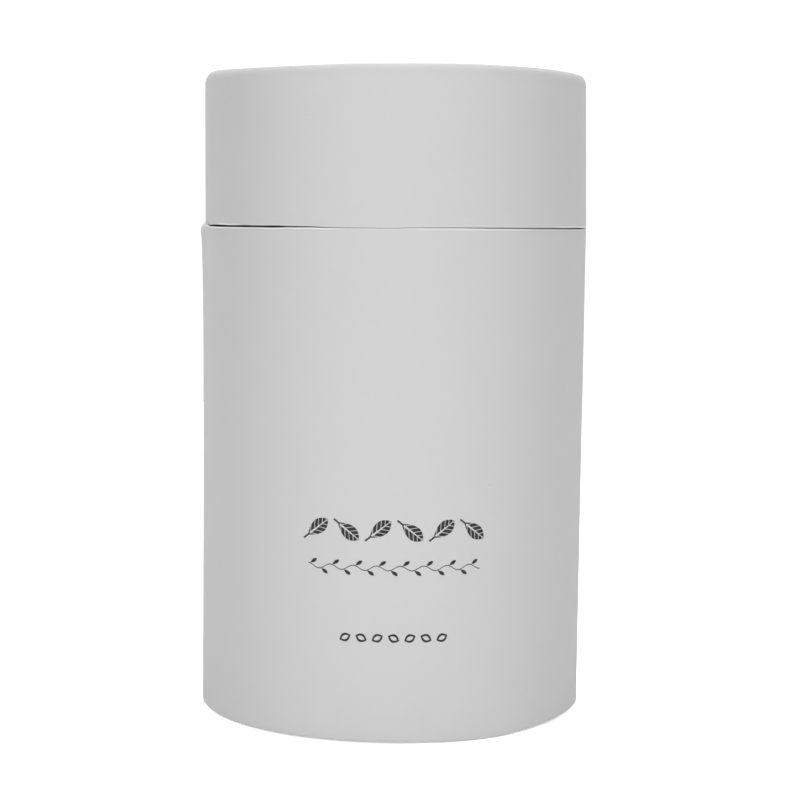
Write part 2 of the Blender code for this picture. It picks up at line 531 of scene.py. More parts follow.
def new_turning_tree():
    """An empty node tree with the inputs that turning takes."""
    tree = bpy.data.node_groups.new("Turn Section", "GeometryNodeTree")
    tree.interface.new_socket("Geometry", in_out="INPUT", socket_type="NodeSocketGeometry")
    for name, default in TURNING_INPUTS.items():
        kind = SOCKET_KINDS[type(default)]
        socket = tree.interface.new_socket(name, in_out="INPUT", socket_type=kind)
        if default is not None:
            socket.default_value = default
    tree.interface.new_socket("Geometry", in_out="OUTPUT", socket_type="NodeSocketGeometry")
    return tree


def turning_tree():
    """The node tree that turns a section into a solid, with its seam, lip, lap, creases and lean."""
    tree = bpy.data.node_groups.get("Turn Section")
    if tree:
        return tree
    tree = new_turning_tree()
    graph = Graph(tree)
    given = graph.add("NodeGroupInput").outputs
    section = given["Geometry"]
    value = {name: Field(graph, given[name]) for name in TURNING_INPUTS}

    # A grid: its rows go round the axis and its columns follow the section's points
    count = graph.add("GeometryNodeAttributeDomainSize", {"Geometry": section}).outputs["Point Count"]
    rows = graph.whole("ADD", value["Segments"], 1)
    grid = graph.add("GeometryNodeMeshGrid", {"Vertices X": rows, "Vertices Y": count})
    index = graph.add("GeometryNodeInputIndex").outputs[0]
    row = graph.whole("DIVIDE_FLOOR", index, count)
    column = graph.whole("MODULO", index, count)

    def sampled(source, kind):
        inputs = {"Geometry": section, "Value": source, "Index": column}
        return graph.add("GeometryNodeSampleIndex", inputs, data_type=kind, domain="POINT").outputs[0]

    def mark(name):
        return Field(graph, sampled(graph.named(name), "FLOAT"))

    position = graph.add("GeometryNodeInputPosition").outputs[0]
    radius, height = graph.parts(sampled(position, "FLOAT_VECTOR"))[::2]
    around = row / value["Segments"]
    turn = (around - 0.5 + value["Winding"] * height) * FULL_TURN
    cosine = graph.math("COSINE", turn)
    sine = graph.math("SINE", turn)

    def uneven(scale, up, detail=1.0, roughness=0.5):
        """Noise round the axis, from -0.5 to 0.5, that changes with up."""
        place = graph.vector(cosine * scale, sine * scale, up)
        return graph.noise(place, 1.0, detail, roughness) - 0.5

    def wave(points, reach):
        """A wave round the axis that goes up and down by that reach."""
        return (graph.curve(around, points) - 0.5) * 2.0 * reach

    # Out from the axis
    lip_reach = abs(graph.apart(turn, value["Lip Turn"]))
    lip = graph.ramp(lip_reach, value["Lip Spread"], value["Lip Spread"] * LIP_EDGE_SHARE)
    bent = graph.ramp(lip_reach, value["Lip Spread"], value["Lip Spread"] * LIP_WALL_SHARE)
    lap_reach = graph.apart(turn, value["Lap Turn"]) * radius
    lap = (lap_reach > 0.0) * (1.0 - graph.ramp(lap_reach, 0.0, value["Lap Width"]))
    crease_reach = abs(uneven(CREASE_SCALE, value["Seed"]))
    crease = (1.0 - graph.ramp(crease_reach, 0.0, CREASE_HALF)) * value["Crease"]
    swelling = uneven(UNEVEN_SCALE, height * UNEVEN_RISE + value["Seed"]) * value["Unevenness"]
    joint_reach = abs(around - 0.5) * radius * FULL_TURN
    joint = 1.0 - graph.ramp(joint_reach, 0.0, JOINT_HALF)
    out = radius + mark(LIP_OUT) * bent
    out = out + mark(WRAPPED) * (lap * value["Lap Step"] + swelling)
    out = out + mark(CREASE_OUT) * crease
    out = out - mark(WRAPPED) * joint * value["Winding Joint"]

    # Up along it
    gap = graph.curve(around, SEAM_GAP) * value["Seam Half Gap"]
    ripple = uneven(RIPPLE_SCALE, value["Seed"], 3.0, 0.6) * value["Seam Ripple"]
    seam = value["Seam Height"] + wave(SEAM_WAVE, value["Seam Wave"]) + gap + ripple
    up = height + mark(LIP_UP) * lip + mark(MOUTH) * (seam - value["Mouth Height"])
    up = up + mark(FOOT) * graph.curve(around, FOOT_WAVE) * value["Foot Lift"]
    up = up + mark(CREASE_UP) * crease

    # Into place
    x = out * sine
    y = out * cosine * -1.0
    above = up - value["Lean From"]
    leaned = x + value["Shift"] + above * value["Lean"]
    rim = wave(RIM_WAVE, value["Rim Wave"])
    rim = rim * graph.limited(above / value["Rim Height"]) * graph.limited(out / RIM_WAVE_REACH)
    placed = graph.vector(leaned, y, up + rim)

    inputs = {"Geometry": grid.outputs[0], "Position": placed}
    flow = graph.add("GeometryNodeSetPosition", inputs).outputs[0]
    for name in SURFACE_MARKS:
        share = mark(name)
        if name == WORN:
            share = share * (1.0 - lip * LIP_UNWORN)
        flow = graph.stored(flow, name, share)

    # The texture map: the way round the axis runs across it, and the way round the section up it.
    # It is stored before the grid's ends are joined, so that no face runs back across it.
    widened = around - graph.math("SINE", around * FULL_TURN) * (FRONT_WIDENING / FULL_TURN)
    flow = graph.stored(flow, ALONG, graph.vector(widened, mark(ALONG), 0.0), "FLOAT_VECTOR")
    flow = graph.stored(flow, BAKE_MAP, graph.named(ALONG, "FLOAT_VECTOR"), "FLOAT2", "CORNER")

    for kind, inputs in (
        ("GeometryNodeRemoveAttribute", {"Name": ALONG}),
        ("GeometryNodeMergeByDistance", {"Distance": WELD}),
        ("GeometryNodeRealizeInstances", {}),
        ("GeometryNodeSetMaterial", {"Material": value["Material"]}),
    ):
        flow = graph.add(kind, {"Geometry": flow, **inputs}).outputs[0]
    graph.add("NodeGroupOutput", {"Geometry": flow})
    return tree


def turned(name, section, material, **settings):
    """Turns a section and gives a plain mesh object. A setting's name is its input's, in lower case."""
    tree = turning_tree()
    sockets = {
        item.name.lower().replace(" ", "_"): item.identifier
        for item in tree.interface.items_tree
        if item.item_type == "SOCKET" and item.in_out == "INPUT"
    }
    outline = section.to_mesh(name)
    piece = bpy.data.objects.new(name, outline)
    bpy.context.scene.collection.objects.link(piece)
    modifier = piece.modifiers.new("Turn", "NODES")
    modifier.node_group = tree
    settings["material"] = material
    settings["segments"] = bpy.context.scene.canister_sizes.segments
    for setting, value in settings.items():
        modifier[sockets[setting]] = value

    evaluated = piece.evaluated_get(bpy.context.evaluated_depsgraph_get())
    solid = bpy.data.meshes.new_from_object(evaluated)
    piece.modifiers.remove(modifier)
    piece.data = solid
    bpy.data.meshes.remove(outline)
    solid.name = name
    if not section.closed:
        solid.uv_layers.remove(solid.uv_layers[BAKE_MAP])  # on a disc it would crowd at the middle
    solid.shade_smooth()
    solid.set_sharp_from_angle(angle=SMOOTH_UNDER)
    require_closed(solid)
    return piece


def require_closed(mesh):
    """Stops the script where a solid has an open edge or its faces point inwards."""
    check = bmesh.new()
    check.from_mesh(mesh)
    open_edges = sum(not edge.is_manifold for edge in check.edges)
    volume = check.calc_volume(signed=True)
    check.free()
    if open_edges or volume <= 0:
        raise RuntimeError(f"{mesh.name} has {open_edges} open edges and a volume of {volume}")


# ---------------------------------------------------------------- Sections of the pieces

MOUTH_FADE = 2.5 * MM  # how far along a wall the seam's unevenness dies away
FOOT_FADE = 8.0 * MM  # and how far up the wall the foot's does
FOOT_FLAT = 34.7 * MM  # radius of the flat ring that the canister stands on
LOW_CROWDING = 1.6  # how much closer the wall's points come near the foot
HIGH_CROWDING = 1.9  # and near the mouth
RIM_SHADE_PAINT_FROM = 2.3 * MM  # how far under the lid's top the painted rim shade starts
RIM_SHADE_PAINT_RISE = 1.7 * MM  # and how much higher it is painted darkest
DIP_UNDER_RIM = 0.7 * MM  # how far under the rim's bend the lid's wall dips most
DIP_REACH = 0.8 * MM  # and how far up and down the dip spreads
LID_WORN_EDGE = 0.26 * MM  # how far from its cut edge the lid's paper is worn
BODY_WORN_EDGE = 0.18 * MM
LINER_CUT = 0.7  # how much board the liner's own cut corner shows
# The bent lip's outer ply: where the points of the mouth's outer corner go, (radius, height) in mm
LIP_PATH = (
    (36.98, 91.34), (36.88, 91.56), (36.76, 91.76), (36.60, 91.96),
    (36.44, 92.11), (36.34, 92.10), (36.31, 91.84), (36.30, 91.60),
)
LIP_CUT_STEPS = 4  # steps over which its paper turns into the cut edge
LIP_WIDEST = 90.95 * MM
LIP_RETURN = 0.5  # how far the lip draws in for each metre up, above its widest place
# How far the lip throws the wall out, and how far below its widest place that dies away by two thirds
FLARE_LONG, FLARE_LONG_REACH = 0.58 * MM, 12.0 * MM
FLARE_SHORT, FLARE_SHORT_REACH = 0.11 * MM, 1.0 * MM


def flare(height):
    """How far the bent lip throws the wall out."""
    below = max(LIP_WIDEST - height, 0.0)
    above = max(height - LIP_WIDEST, 0.0)
    long = FLARE_LONG * math.exp(-below / FLARE_LONG_REACH)
    short = FLARE_SHORT * math.exp(-below / FLARE_SHORT_REACH)
    return long + short - above * LIP_RETURN


def mouth_weight(mouth, sign):
    """How far a point follows the seam: wholly at the mouth and less further along the wall."""
    return lambda radius, height: max(0.0, 1.0 - sign * (height - mouth) / MOUTH_FADE)


def foot_weight(radius, height):
    """How far a point follows the foot's uneven edge: not on the ring that it stands on."""
    outside = held((radius - FOOT_FLAT) / (BODY_RADIUS - FOOT_FLAT))
    return outside * held(1.0 - height / FOOT_FADE)


def body_section(sizes):
    """The outer tube: its standing ring, outer wall, mouth with the bent lip, bore and rolled foot."""
    section = Section()
    foot_inner = BODY_RADIUS - sizes.roll_width
    foot_round = sizes.foot_round
    edge = sizes.cut_round

    ring_start = (foot_inner + sizes.roll_round, 0.0)
    ring_end = (BODY_RADIUS - foot_round, 0.0)
    section.line(ring_start, ring_end, FLAT_STEPS * 2, rolled=1.0)
    centre = (BODY_RADIUS - foot_round, foot_round)
    # The foot's rounding faces down here, and its cut mark paints light on it to lift its shade
    section.corner(centre, foot_round, -90, 60, ROUND_STEPS - 2, wrapped=1.0, rolled=1.0, cut=1.0)
    section.corner(centre, foot_round, -30, 30, 2, wrapped=1.0, rolled=1.0)

    half = WALL_STEPS // 2
    middle = BODY_MOUTH / 2
    section.line((BODY_RADIUS, foot_round), (BODY_RADIUS, middle), half, LOW_CROWDING, wrapped=1.0)
    wall_end = BODY_MOUTH - edge - BODY_WORN_EDGE
    for step in range(half + 1):
        height = middle + (wall_end - middle) * (1.0 - (1.0 - step / half) ** HIGH_CROWDING)
        section.add(BODY_RADIUS, height, wrapped=1.0, lip_out=flare(height))
    height = BODY_MOUTH - edge - BODY_WORN_EDGE / 2
    section.add(BODY_RADIUS, height, wrapped=1.0, lip_out=flare(height), worn=1.0)

    for step, (lip_radius, lip_height) in enumerate(LIP_PATH):
        turn = math.radians(90 * step / len(LIP_PATH))
        radius = BODY_RADIUS - edge + edge * math.cos(turn)
        height = BODY_MOUTH - edge + edge * math.sin(turn)
        lip = {LIP_OUT: lip_radius * MM - radius, LIP_UP: lip_height * MM - height}
        section.add(radius, height, cut=min(1.0, step / LIP_CUT_STEPS), worn=1.0, **lip)

    mouth_inner = (BORE + edge, BODY_MOUTH)
    section.line((BODY_RADIUS - edge, BODY_MOUTH), mouth_inner, FLAT_STEPS, bare=1.0)
    section.corner((BORE + edge, BODY_MOUTH - edge), edge, 90, bare=1.0)
    bore_foot = (BORE, FOOT_ROLL_TOP)
    section.line((BORE, BODY_MOUTH - edge), bore_foot, WALL_STEPS // 3, bare=1.0)
    section.line(bore_foot, (foot_inner + sizes.roll_round, FOOT_ROLL_TOP), FLAT_STEPS, rolled=1.0)
    section.roll(foot_inner, 0.0, FOOT_ROLL_TOP, sizes.roll_round)
    section.close()
    section.crease(BODY_RADIUS)
    section.weigh(MOUTH, mouth_weight(BODY_MOUTH, -1.0))
    section.weigh(FOOT, foot_weight)
    return section


def lid_wall_radius(height, sizes):
    """The lid's outside: it draws in towards the top and dips just under the rolled rim."""
    share = (height - LID_MOUTH) / (TOP - LID_MOUTH)
    dip_middle = TOP - sizes.rim_down - DIP_UNDER_RIM
    dip = math.exp(-(((height - dip_middle) / DIP_REACH) ** 2))
    return LID_RADIUS - sizes.lid_taper * share - sizes.rim_dip * dip


def rim_painted_shade(radius, height):
    """How much painted shade the lid's paper gets: all of it round the rim and less down its side."""
    share = held((height - TOP + RIM_SHADE_PAINT_FROM) / RIM_SHADE_PAINT_RISE)
    return share * share * (3.0 - 2.0 * share)


def lid_section(sizes):
    """The lid's side: its cut mouth, outer wall, rolled rim and bore."""
    section = Section()
    roll_round = sizes.roll_round
    edge = sizes.cut_round
    top_radius = LID_RADIUS - sizes.lid_taper
    rim_inner = top_radius - sizes.roll_width

    section.line((BORE, LID_MOUTH), (LID_RADIUS - edge, LID_MOUTH), FLAT_STEPS, bare=1.0)
    section.corner((LID_RADIUS - edge, LID_MOUTH + edge), edge, -90, worn=1.0)
    for worn_height in (0.0, LID_WORN_EDGE / 2):
        section.add(LID_RADIUS, LID_MOUTH + edge + worn_height, wrapped=1.0, worn=1.0)

    # The rim's corner is a wide bend and then a tighter fold, and the two meet at one slope
    across, down, turn, fold = sizes.rim_across, sizes.rim_down, sizes.rim_turn, sizes.rim_fold
    fold_turn = math.atan2(math.sin(turn) / down, math.cos(turn) / across)
    wall_start = LID_MOUTH + edge + LID_WORN_EDGE
    wall_end = TOP - down * math.sin(turn) - fold * (1.0 - math.sin(fold_turn))
    for step in range(WALL_STEPS):
        height = wall_start + (wall_end - wall_start) * step / WALL_STEPS
        section.add(lid_wall_radius(height, sizes), height, wrapped=1.0)
    bend_centre = (top_radius - across, wall_end)
    bend_turn = math.degrees(turn)
    section.bend(bend_centre, across, down, 0, bend_turn, ROUND_STEPS, wrapped=1.0, rolled=1.0)
    fold_start = math.degrees(fold_turn)
    fold_radius = top_radius - across * (1.0 - math.cos(turn)) - fold * math.cos(fold_turn)
    fold_centre = (fold_radius, TOP - fold)
    section.corner(
        fold_centre, fold, fold_start, 90 - fold_start, ROUND_STEPS, wrapped=1.0, rolled=1.0
    )

    section.line((fold_radius, TOP), (rim_inner + roll_round, TOP), FLAT_STEPS * 2, rolled=1.0)
    section.roll(rim_inner, RIM_ROLL_BOTTOM, TOP, roll_round)
    bore_top = (BORE, RIM_ROLL_BOTTOM)
    section.line((rim_inner + roll_round, RIM_ROLL_BOTTOM), bore_top, FLAT_STEPS, rolled=0.5)
    section.line(bore_top, (BORE, LID_MOUTH), WALL_STEPS // 3, bare=1.0)
    section.close()
    section.crease(top_radius)
    # Painted shade round the rolled rim, darkest at the top
    section.weigh(PAINTED_RIM_SHADE, rim_painted_shade)
    section.weigh(MOUTH, mouth_weight(LID_MOUTH, 1.0))
    return section


def neck_section(sizes):
    """The inner tube: bare board outside, and lined inside."""
    section = Section()
    edge = sizes.cut_round
    neck_bore = NECK_RADIUS - sizes.neck_board
    foot, top = NECK_LOW.z, NECK_HIGH.z
    outer_end = (NECK_RADIUS, top - edge)
    section.line((neck_bore, foot), (NECK_RADIUS, foot), FLAT_STEPS, cut=1.0)
    section.line((NECK_RADIUS, foot), outer_end, WALL_STEPS, wrapped=1.0, bare=1.0)
    section.corner((NECK_RADIUS - edge, top - edge), edge, 0, bare=1.0)
    section.line((NECK_RADIUS - edge, top), (neck_bore + edge, top), FLAT_STEPS, cut=1.0)
    section.corner((neck_bore + edge, top - edge), edge, 90, cut=LINER_CUT)
    section.line((neck_bore, top - edge), (neck_bore, foot), WALL_STEPS)
    section.close()
    return section


DISC_STEPS = 12  # from the axis to the groove that the press leaves
GROOVE_STEPS = 14  # across the groove
EDGE_STEPS = 6  # from the groove to the edge
GROOVE_HALF = 1.4 * MM
GROOVE_DEPTH = 0.12 * MM


def disc_radii(flat, ring):
    """Radii from the axis to a disc's edge, closest together across the pressed groove."""
    stretches = (
        (0.0, ring - GROOVE_HALF, DISC_STEPS),
        (ring - GROOVE_HALF, ring + GROOVE_HALF, GROOVE_STEPS),
        (ring + GROOVE_HALF, flat, EDGE_STEPS),
    )
    return [
        start + (end - start) * step / steps for start, end, steps in stretches for step in range(steps)
    ]


def disc_section(low, high, sizes, up, bare_top):
    """A disc whose outside is dished inwards. up is 1 where its outside is its top, and otherwise -1."""
    section = Section()
    edge = sizes.cut_round
    flat = high.x - edge
    radii = disc_radii(flat, sizes.press_ring)

    def level(radius, height, is_outside):
        dish = sizes.disc_dish * (1.0 - (radius / high.x) ** 2)
        if is_outside:
            from_groove = min(1.0, abs(radius - sizes.press_ring) / GROOVE_HALF)
            dish += GROOVE_DEPTH * math.cos(math.pi / 2 * from_groove) ** 2
        return height - up * dish

    for radius in radii:
        section.add(radius, level(radius, low.z, up < 0), bare=1.0)
    section.corner((flat, low.z + edge), edge, -90, cut=1.0)
    section.corner((flat, high.z - edge), edge, 0, cut=1.0)
    for radius in [flat, *reversed(radii)]:
        section.add(radius, level(radius, high.z, up > 0), bare=bare_top)
    return section


# ---------------------------------------------------------------- Materials


SHEEN = 0.15  # specular level of paper, board and floor
CLOUD_SCALE = 150.0  # clouds in the paper, to a metre
# Fibres that run up and fibres that run round: how their grain is drawn out, and how many to a metre
FIBRES = (((1.0, 1.0, 0.22), 2600.0), ((0.3, 0.3, 1.0), 2300.0))
PLIES = 5200.0  # plies at a board's edge, to a metre
GRAIN_DEPTH = 0.02 * MM  # depth that the bump stands for
LAP_SHADOW_HALF = 0.11 * MM  # half the width of the painted shadow line along a lap
SPIRAL_LINE = 0.12 * MM  # and of the joint line of wound board
SPIRAL_SOFT = 2.5  # how much wider that line is where it has faded out
FLECK_RISE = 0.12  # how softly a board's flecks begin, in the noise that they come from
SPECK_SCALE = 115.0  # scattered points to a metre, which show where the surface cuts one
SPECK_SIZE = 0.16 * MM
SPECK_SHADE, LAP_SHADOW_SHARE, SPIRAL_SHADE = 0.35, 0.22, 0.6  # how far they darken the colour; the lap's is painted shadow
RIM_PAINTED_SHADE_SHARE = 0.07  # how far the ink's colour is mixed in as painted shade round the rim
RAW_OR_FOOT_LIGHT_SHARE = 0.42  # how far a cut edge shows raw paper, and how far the foot's rounding is painted lighter
TUBE_PLY_SHARE = 0.8  # width of the outer tubes' strips, as a share of the inner tube's
CREASE_LINES = 46.0  # how fine the creases' lines are round the axis
CREASE_LINES_UP = 12.0  # and how fast they change with height
CREASE_LINES_DEPTH = 2.0  # as a share of the grain's depth
BARE_ROUGHER = 0.6  # how much more the fibres stand out on bare board
INK_COVER = 0.96  # how far ink hides the paper
INK_GRAIN = 0.2  # and how much the fibres vary that
PLIES_SHADE, FLECK_SHADE = 1.4, 0.3  # how much plies and flecks vary the board's shade
LINER_CUT_SHADE = 0.45  # the board's shade at the liner's cut ends
NECK_GAP_PAINTED_SHADE = 0.4  # and how much darker the bare outside is painted, as shade in the seam's gap


class Surface:
    """A material in the making: its place on the canister and its shader."""

    def __init__(self, name, roughness):
        self.material = bpy.data.materials.new(name)
        self.material.use_nodes = True
        tree = self.material.node_tree
        self.shader = tree.nodes["Principled BSDF"]
        self.shader.inputs["Roughness"].default_value = roughness
        self.shader.inputs["Specular IOR Level"].default_value = SHEEN
        self.graph = Graph(tree)
        self.place = self.graph.add("ShaderNodeTexCoord").outputs["Object"]

    def finish(self, colour, height):
        """Plugs in the colour and a bump whose height is a share of the grain's depth."""
        inputs = {"Strength": 1.0, "Distance": GRAIN_DEPTH, "Height": height}
        bump = self.graph.add("ShaderNodeBump", inputs)
        self.graph.plug(colour, self.shader.inputs["Base Color"])
        self.graph.plug(bump.outputs[0], self.shader.inputs["Normal"])
        return self.material


class Paper(Surface):
    """A surface of paper or board. Its clouds and fibres run from -0.5 to 0.5."""

    def __init__(self, name, roughness):
        super().__init__(name, roughness)
        graph = self.graph
        self.colours = bpy.context.scene.canister_paper
        x, y, self.z = graph.parts(self.place)
        self.turn = graph.math("ARCTAN2", x, y * -1.0)
        self.cloud = graph.noise(self.place, CLOUD_SCALE, detail=3.0, roughness=0.6) - 0.5
        upright, level = (
            graph.noise(self.stretched(*grain), scale, detail=3.0, roughness=0.65) - 0.5
            for grain, scale in FIBRES
        )
        self.fibres = (upright + level) * 0.5

    def mark(self, name):
        """A mark that the piece's section carries."""
        return self.graph.field(self.graph.add("ShaderNodeAttribute", attribute_name=name), "Fac")

    def stretched(self, x, y, z):
        """The place with its grain drawn out along an axis."""
        node = self.graph.add("ShaderNodeMapping", {"Vector": self.place, "Scale": (x, y, z)})
        return node.outputs[0]

    def tone(self, base, cloud, fibres, more=0.0):
        """A shade from 0 to 1: a base that the clouds and fibres vary by their shares."""
        return self.graph.limited(base + self.cloud * cloud + self.fibres * fibres + more)

    def wrap(self):
        """Colour of the wrapping paper."""
        tone = self.tone(0.35, cloud=0.5, fibres=0.9)
        return self.graph.mixed(tone, self.colours.wrap, self.colours.wrap_shade)

    def board(self, tone):
        """Colour of bare board."""
        return self.graph.mixed(tone, self.colours.board, self.colours.board_shade)

    def shaded(self, share, colour):
        """The colour with a share of the board's shade mixed in."""
        return self.graph.mixed(share, colour, self.colours.board_shade)

    def relief(self, fibres, cloud=0.0):
        """Height of the bump: its middle, which the fibres and clouds vary by their shares."""
        return 0.5 + self.fibres * fibres + self.cloud * cloud

    def specks(self):
        """1 in the few small dots where a scattered point comes near the surface."""
        inputs = {"Vector": self.place, "Scale": SPECK_SCALE}
        node = self.graph.add("ShaderNodeTexVoronoi", inputs)
        return self.graph.field(node, "Distance") < SPECK_SIZE * SPECK_SCALE

    def flecks(self, drawn_out, scale, start):
        """Short coarse fibres, as a share."""
        grain = self.graph.noise(self.stretched(*drawn_out), scale, detail=4.0, roughness=0.7)
        return self.graph.ramp(grain, start, start + FLECK_RISE)

    def spiral_line(self, strip):
        """The joint line of board wound from a strip of that width."""
        girth = FULL_TURN * BORE
        winding = self.turn / FULL_TURN - self.z / climb(strip, girth)
        reach = abs(self.graph.math("WRAP", winding, -0.5, 0.5)) * girth
        return 1.0 - self.graph.ramp(reach, SPIRAL_LINE, SPIRAL_LINE * SPIRAL_SOFT)


def leaf(along, across, long, wide, fuller=0.35):
    """1 inside a pointed leaf that is fuller towards one end."""
    share = along / (long / 2)
    half = (1.0 - share * share) * (share * fuller + 1.0) * (wide / 2)
    return (abs(across) < half) * (abs(share) < 1.0)


def row_of(surface, kind):
    """Cells of a printed row: the place inside a cell, whether the row is there, and odd cells' sign."""
    graph = surface.graph
    layout = bpy.context.scene.canister_print
    height = getattr(layout, f"{kind}_height")
    pitch = getattr(layout, f"{kind}_pitch")
    cell_count = getattr(layout, f"{kind}_count")
    cells = (surface.turn * BODY_RADIUS - layout.middle) / pitch + cell_count / 2
    cell = graph.math("FLOOR", cells)
    along = (cells - cell - 0.5) * pitch
    inside = (cells > 0.0) * (cells < float(cell_count))
    sign = 1.0 - graph.math("FLOORED_MODULO", cell, 2.0) * 2.0
    return along, surface.z - height, inside, sign


def tilted(along, across, sign, degrees):
    """The place in a cell, turned one way in even cells and the other way in odd ones."""
    cosine = math.cos(math.radians(degrees))
    sine = sign * math.sin(math.radians(degrees))
    return along * cosine + across * sine, across * cosine - along * sine


LEAF_TILT, LEAFLET_TILT, SEED_TILT = 38.0, 35.0, 24.0  # degrees out of their row
BLADE_SHIFT = 0.35 * MM  # from the middle of a cell to the middle of its leaf
RIB_HALF, RIB_TAPER = 0.13 * MM, 0.03  # half the rib's width, and how fast it narrows
VEIN_PITCH, VEIN_SLANT = 0.95 * MM, -0.9
VEIN_HALF = 0.07  # half a vein's width, as a share of the pitch
STALK_HALF, STALK_MIDDLE, STALK_REACH = 0.16 * MM, -2.3 * MM, 0.75 * MM
LEAFLET_OUT = 0.85 * MM  # from the vine's middle to the middle of a leaflet
VINE_SWING = 0.42 * MM
VINE_HALF = 0.085 * MM  # half the vine's width


def printed_leaves(surface):
    """A row of leaves with ribs, veins and stalks."""
    graph = surface.graph
    along, across, inside, sign = row_of(surface, "leaf")
    along, across = tilted(along, across, sign, LEAF_TILT)
    blade = leaf(along - BLADE_SHIFT, across, long=5.0 * MM, wide=2.5 * MM)
    rib = abs(across) < (RIB_HALF - along * RIB_TAPER)
    veins_place = (along + abs(across) * VEIN_SLANT) / VEIN_PITCH
    veins = abs(graph.math("FRACT", veins_place) - 0.5) < VEIN_HALF
    stalk = (abs(across) < STALK_HALF) * (abs(along - STALK_MIDDLE) < STALK_REACH)
    return inside * graph.larger(blade * (1.0 - rib) * (1.0 - veins), stalk)


def printed_vine(surface):
    """A fine vine with a leaflet at each of its turns."""
    graph = surface.graph
    layout = bpy.context.scene.canister_print
    along, across, inside, sign = row_of(surface, "vine")
    waves = (surface.turn * BODY_RADIUS - layout.middle) * (math.pi / layout.vine_pitch)
    stem = abs(across - graph.math("SINE", waves) * VINE_SWING) < VINE_HALF
    along, across = tilted(along, across * sign - LEAFLET_OUT, 1.0, LEAFLET_TILT)
    return inside * graph.larger(stem, leaf(along, across, long=1.55 * MM, wide=0.62 * MM))


def printed_seeds(surface):
    """A row of outlined seeds."""
    along, across, inside, sign = row_of(surface, "seed")
    along, across = tilted(along, across, sign, SEED_TILT)
    seed = leaf(along, across, long=2.2 * MM, wide=1.55 * MM, fuller=0.0)
    hollow = leaf(along, across, long=1.35 * MM, wide=0.72 * MM, fuller=0.0)
    return inside * seed * (1.0 - hollow)


def wrap_paper(name, lap_turn, worn, printed=False):
    """Matte wrapping paper with its lap, creases and raw cut edges, and bare board inside the tube. A
    painted shadow runs along the lap, the foot's downward-facing rounding is painted lighter, and the
    lid's rim carries painted shade.
    """
    surface = Paper(name, roughness=0.82)
    graph, colours = surface.graph, surface.colours

    colour = surface.shaded(surface.specks() * SPECK_SHADE, surface.wrap())
    # Painted shade: the lid's rim darkened towards the ink's colour where light from above falls
    # brightest
    colour = graph.mixed(surface.mark(PAINTED_RIM_SHADE) * RIM_PAINTED_SHADE_SHARE, colour, colours.ink)
    # Painted shadow: a dark hairline where the lapped paper's edge steps up
    lap_reach = graph.apart(surface.turn, lap_turn) * BODY_RADIUS
    painted_lap_shadow = 1.0 - graph.ramp(abs(lap_reach), 0.0, LAP_SHADOW_HALF)
    colour = surface.shaded(painted_lap_shadow * LAP_SHADOW_SHARE, colour)
    if printed:
        rows = graph.larger(printed_leaves(surface), printed_vine(surface), printed_seeds(surface))
        colour = graph.mixed(rows * (INK_COVER + surface.fibres * INK_GRAIN), colour, colours.ink)

    board = surface.board(surface.tone(0.5, cloud=1.0, fibres=1.6))
    spiral = surface.spiral_line(bpy.context.scene.canister_fit.ply_width * TUBE_PLY_SHARE)
    board = surface.shaded(spiral * SPIRAL_SHADE, board)
    colour = graph.mixed(surface.mark(BARE), colour, board)
    # Raw paper at cut edges, and painted light on the foot's downward-facing rounding
    raw_paper_or_lift = graph.mixed(surface.tone(0.1, cloud=0.0, fibres=1.0), colours.cut, colours.wrap)
    core = graph.curve(surface.turn / FULL_TURN + 0.5, worn) * (1.0 + surface.fibres)
    edges = graph.larger(surface.mark(RAW_EDGE_OR_FOOT_LIGHT) * RAW_OR_FOOT_LIGHT_SHARE, surface.mark(WORN) * graph.limited(core))
    colour = graph.mixed(edges, colour, raw_paper_or_lift)

    crease_place = graph.vector(
        graph.math("COSINE", surface.turn),
        graph.math("SINE", surface.turn),
        surface.z * CREASE_LINES_UP,
    )
    creases = abs(graph.noise(crease_place, CREASE_LINES) - 0.5) * surface.mark(ROLLED)
    height = surface.relief(fibres=0.35, cloud=0.1) - creases * CREASE_LINES_DEPTH
    return surface.finish(colour, height + surface.mark(BARE) * surface.fibres * BARE_ROUGHER)


def liner_paper(name):
    """White paper on wound board, whose plies show at its cut ends and outside. Its bare outside is
    painted darker, as shade in the seam's gap.
    """
    surface = Paper(name, roughness=0.7)
    graph, colours = surface.graph, surface.colours
    tone = surface.tone(0.3, cloud=0.5, fibres=1.0)
    colour = graph.mixed(tone, colours.liner, colours.wrap)
    plies = graph.noise(surface.place, PLIES) - 0.5
    # The board's own grey, and on the bare outside painted shade that darkens the seam's gap
    shade = LINER_CUT_SHADE + surface.mark(BARE) * NECK_GAP_PAINTED_SHADE + plies * PLIES_SHADE
    board = surface.board(graph.limited(shade))
    colour = graph.mixed(graph.larger(surface.mark(RAW_EDGE_OR_FOOT_LIGHT), surface.mark(BARE)), colour, board)
    return surface.finish(colour, surface.relief(fibres=0.35) + surface.mark(RAW_EDGE_OR_FOOT_LIGHT) * plies)


def disc_board(name, faced):
    """Pressed grey board with fibres. Where faced, wrapping paper covers what isn't marked bare."""
    surface = Paper(name, roughness=0.86)
    flecks = surface.flecks((1.0, 0.35, 1.0), scale=900.0, start=0.60)
    flecks = flecks + surface.flecks((0.4, 1.0, 1.0), scale=760.0, start=0.62)
    colour = surface.board(surface.tone(0.42, cloud=0.9, fibres=1.4, more=flecks * FLECK_SHADE))
    if faced:
        bare = surface.graph.larger(surface.mark(BARE), surface.mark(RAW_EDGE_OR_FOOT_LIGHT))
        colour = surface.graph.mixed(bare, surface.wrap(), colour)
    return surface.finish(colour, surface.relief(fibres=0.7, cloud=0.3))


# ---------------------------------------------------------------- Pieces


# How far the paper swells and sinks, between its highest and lowest: on the body, then elsewhere
BODY_UNEVENNESS = 0.05 * MM
UNEVENNESS = 0.04 * MM


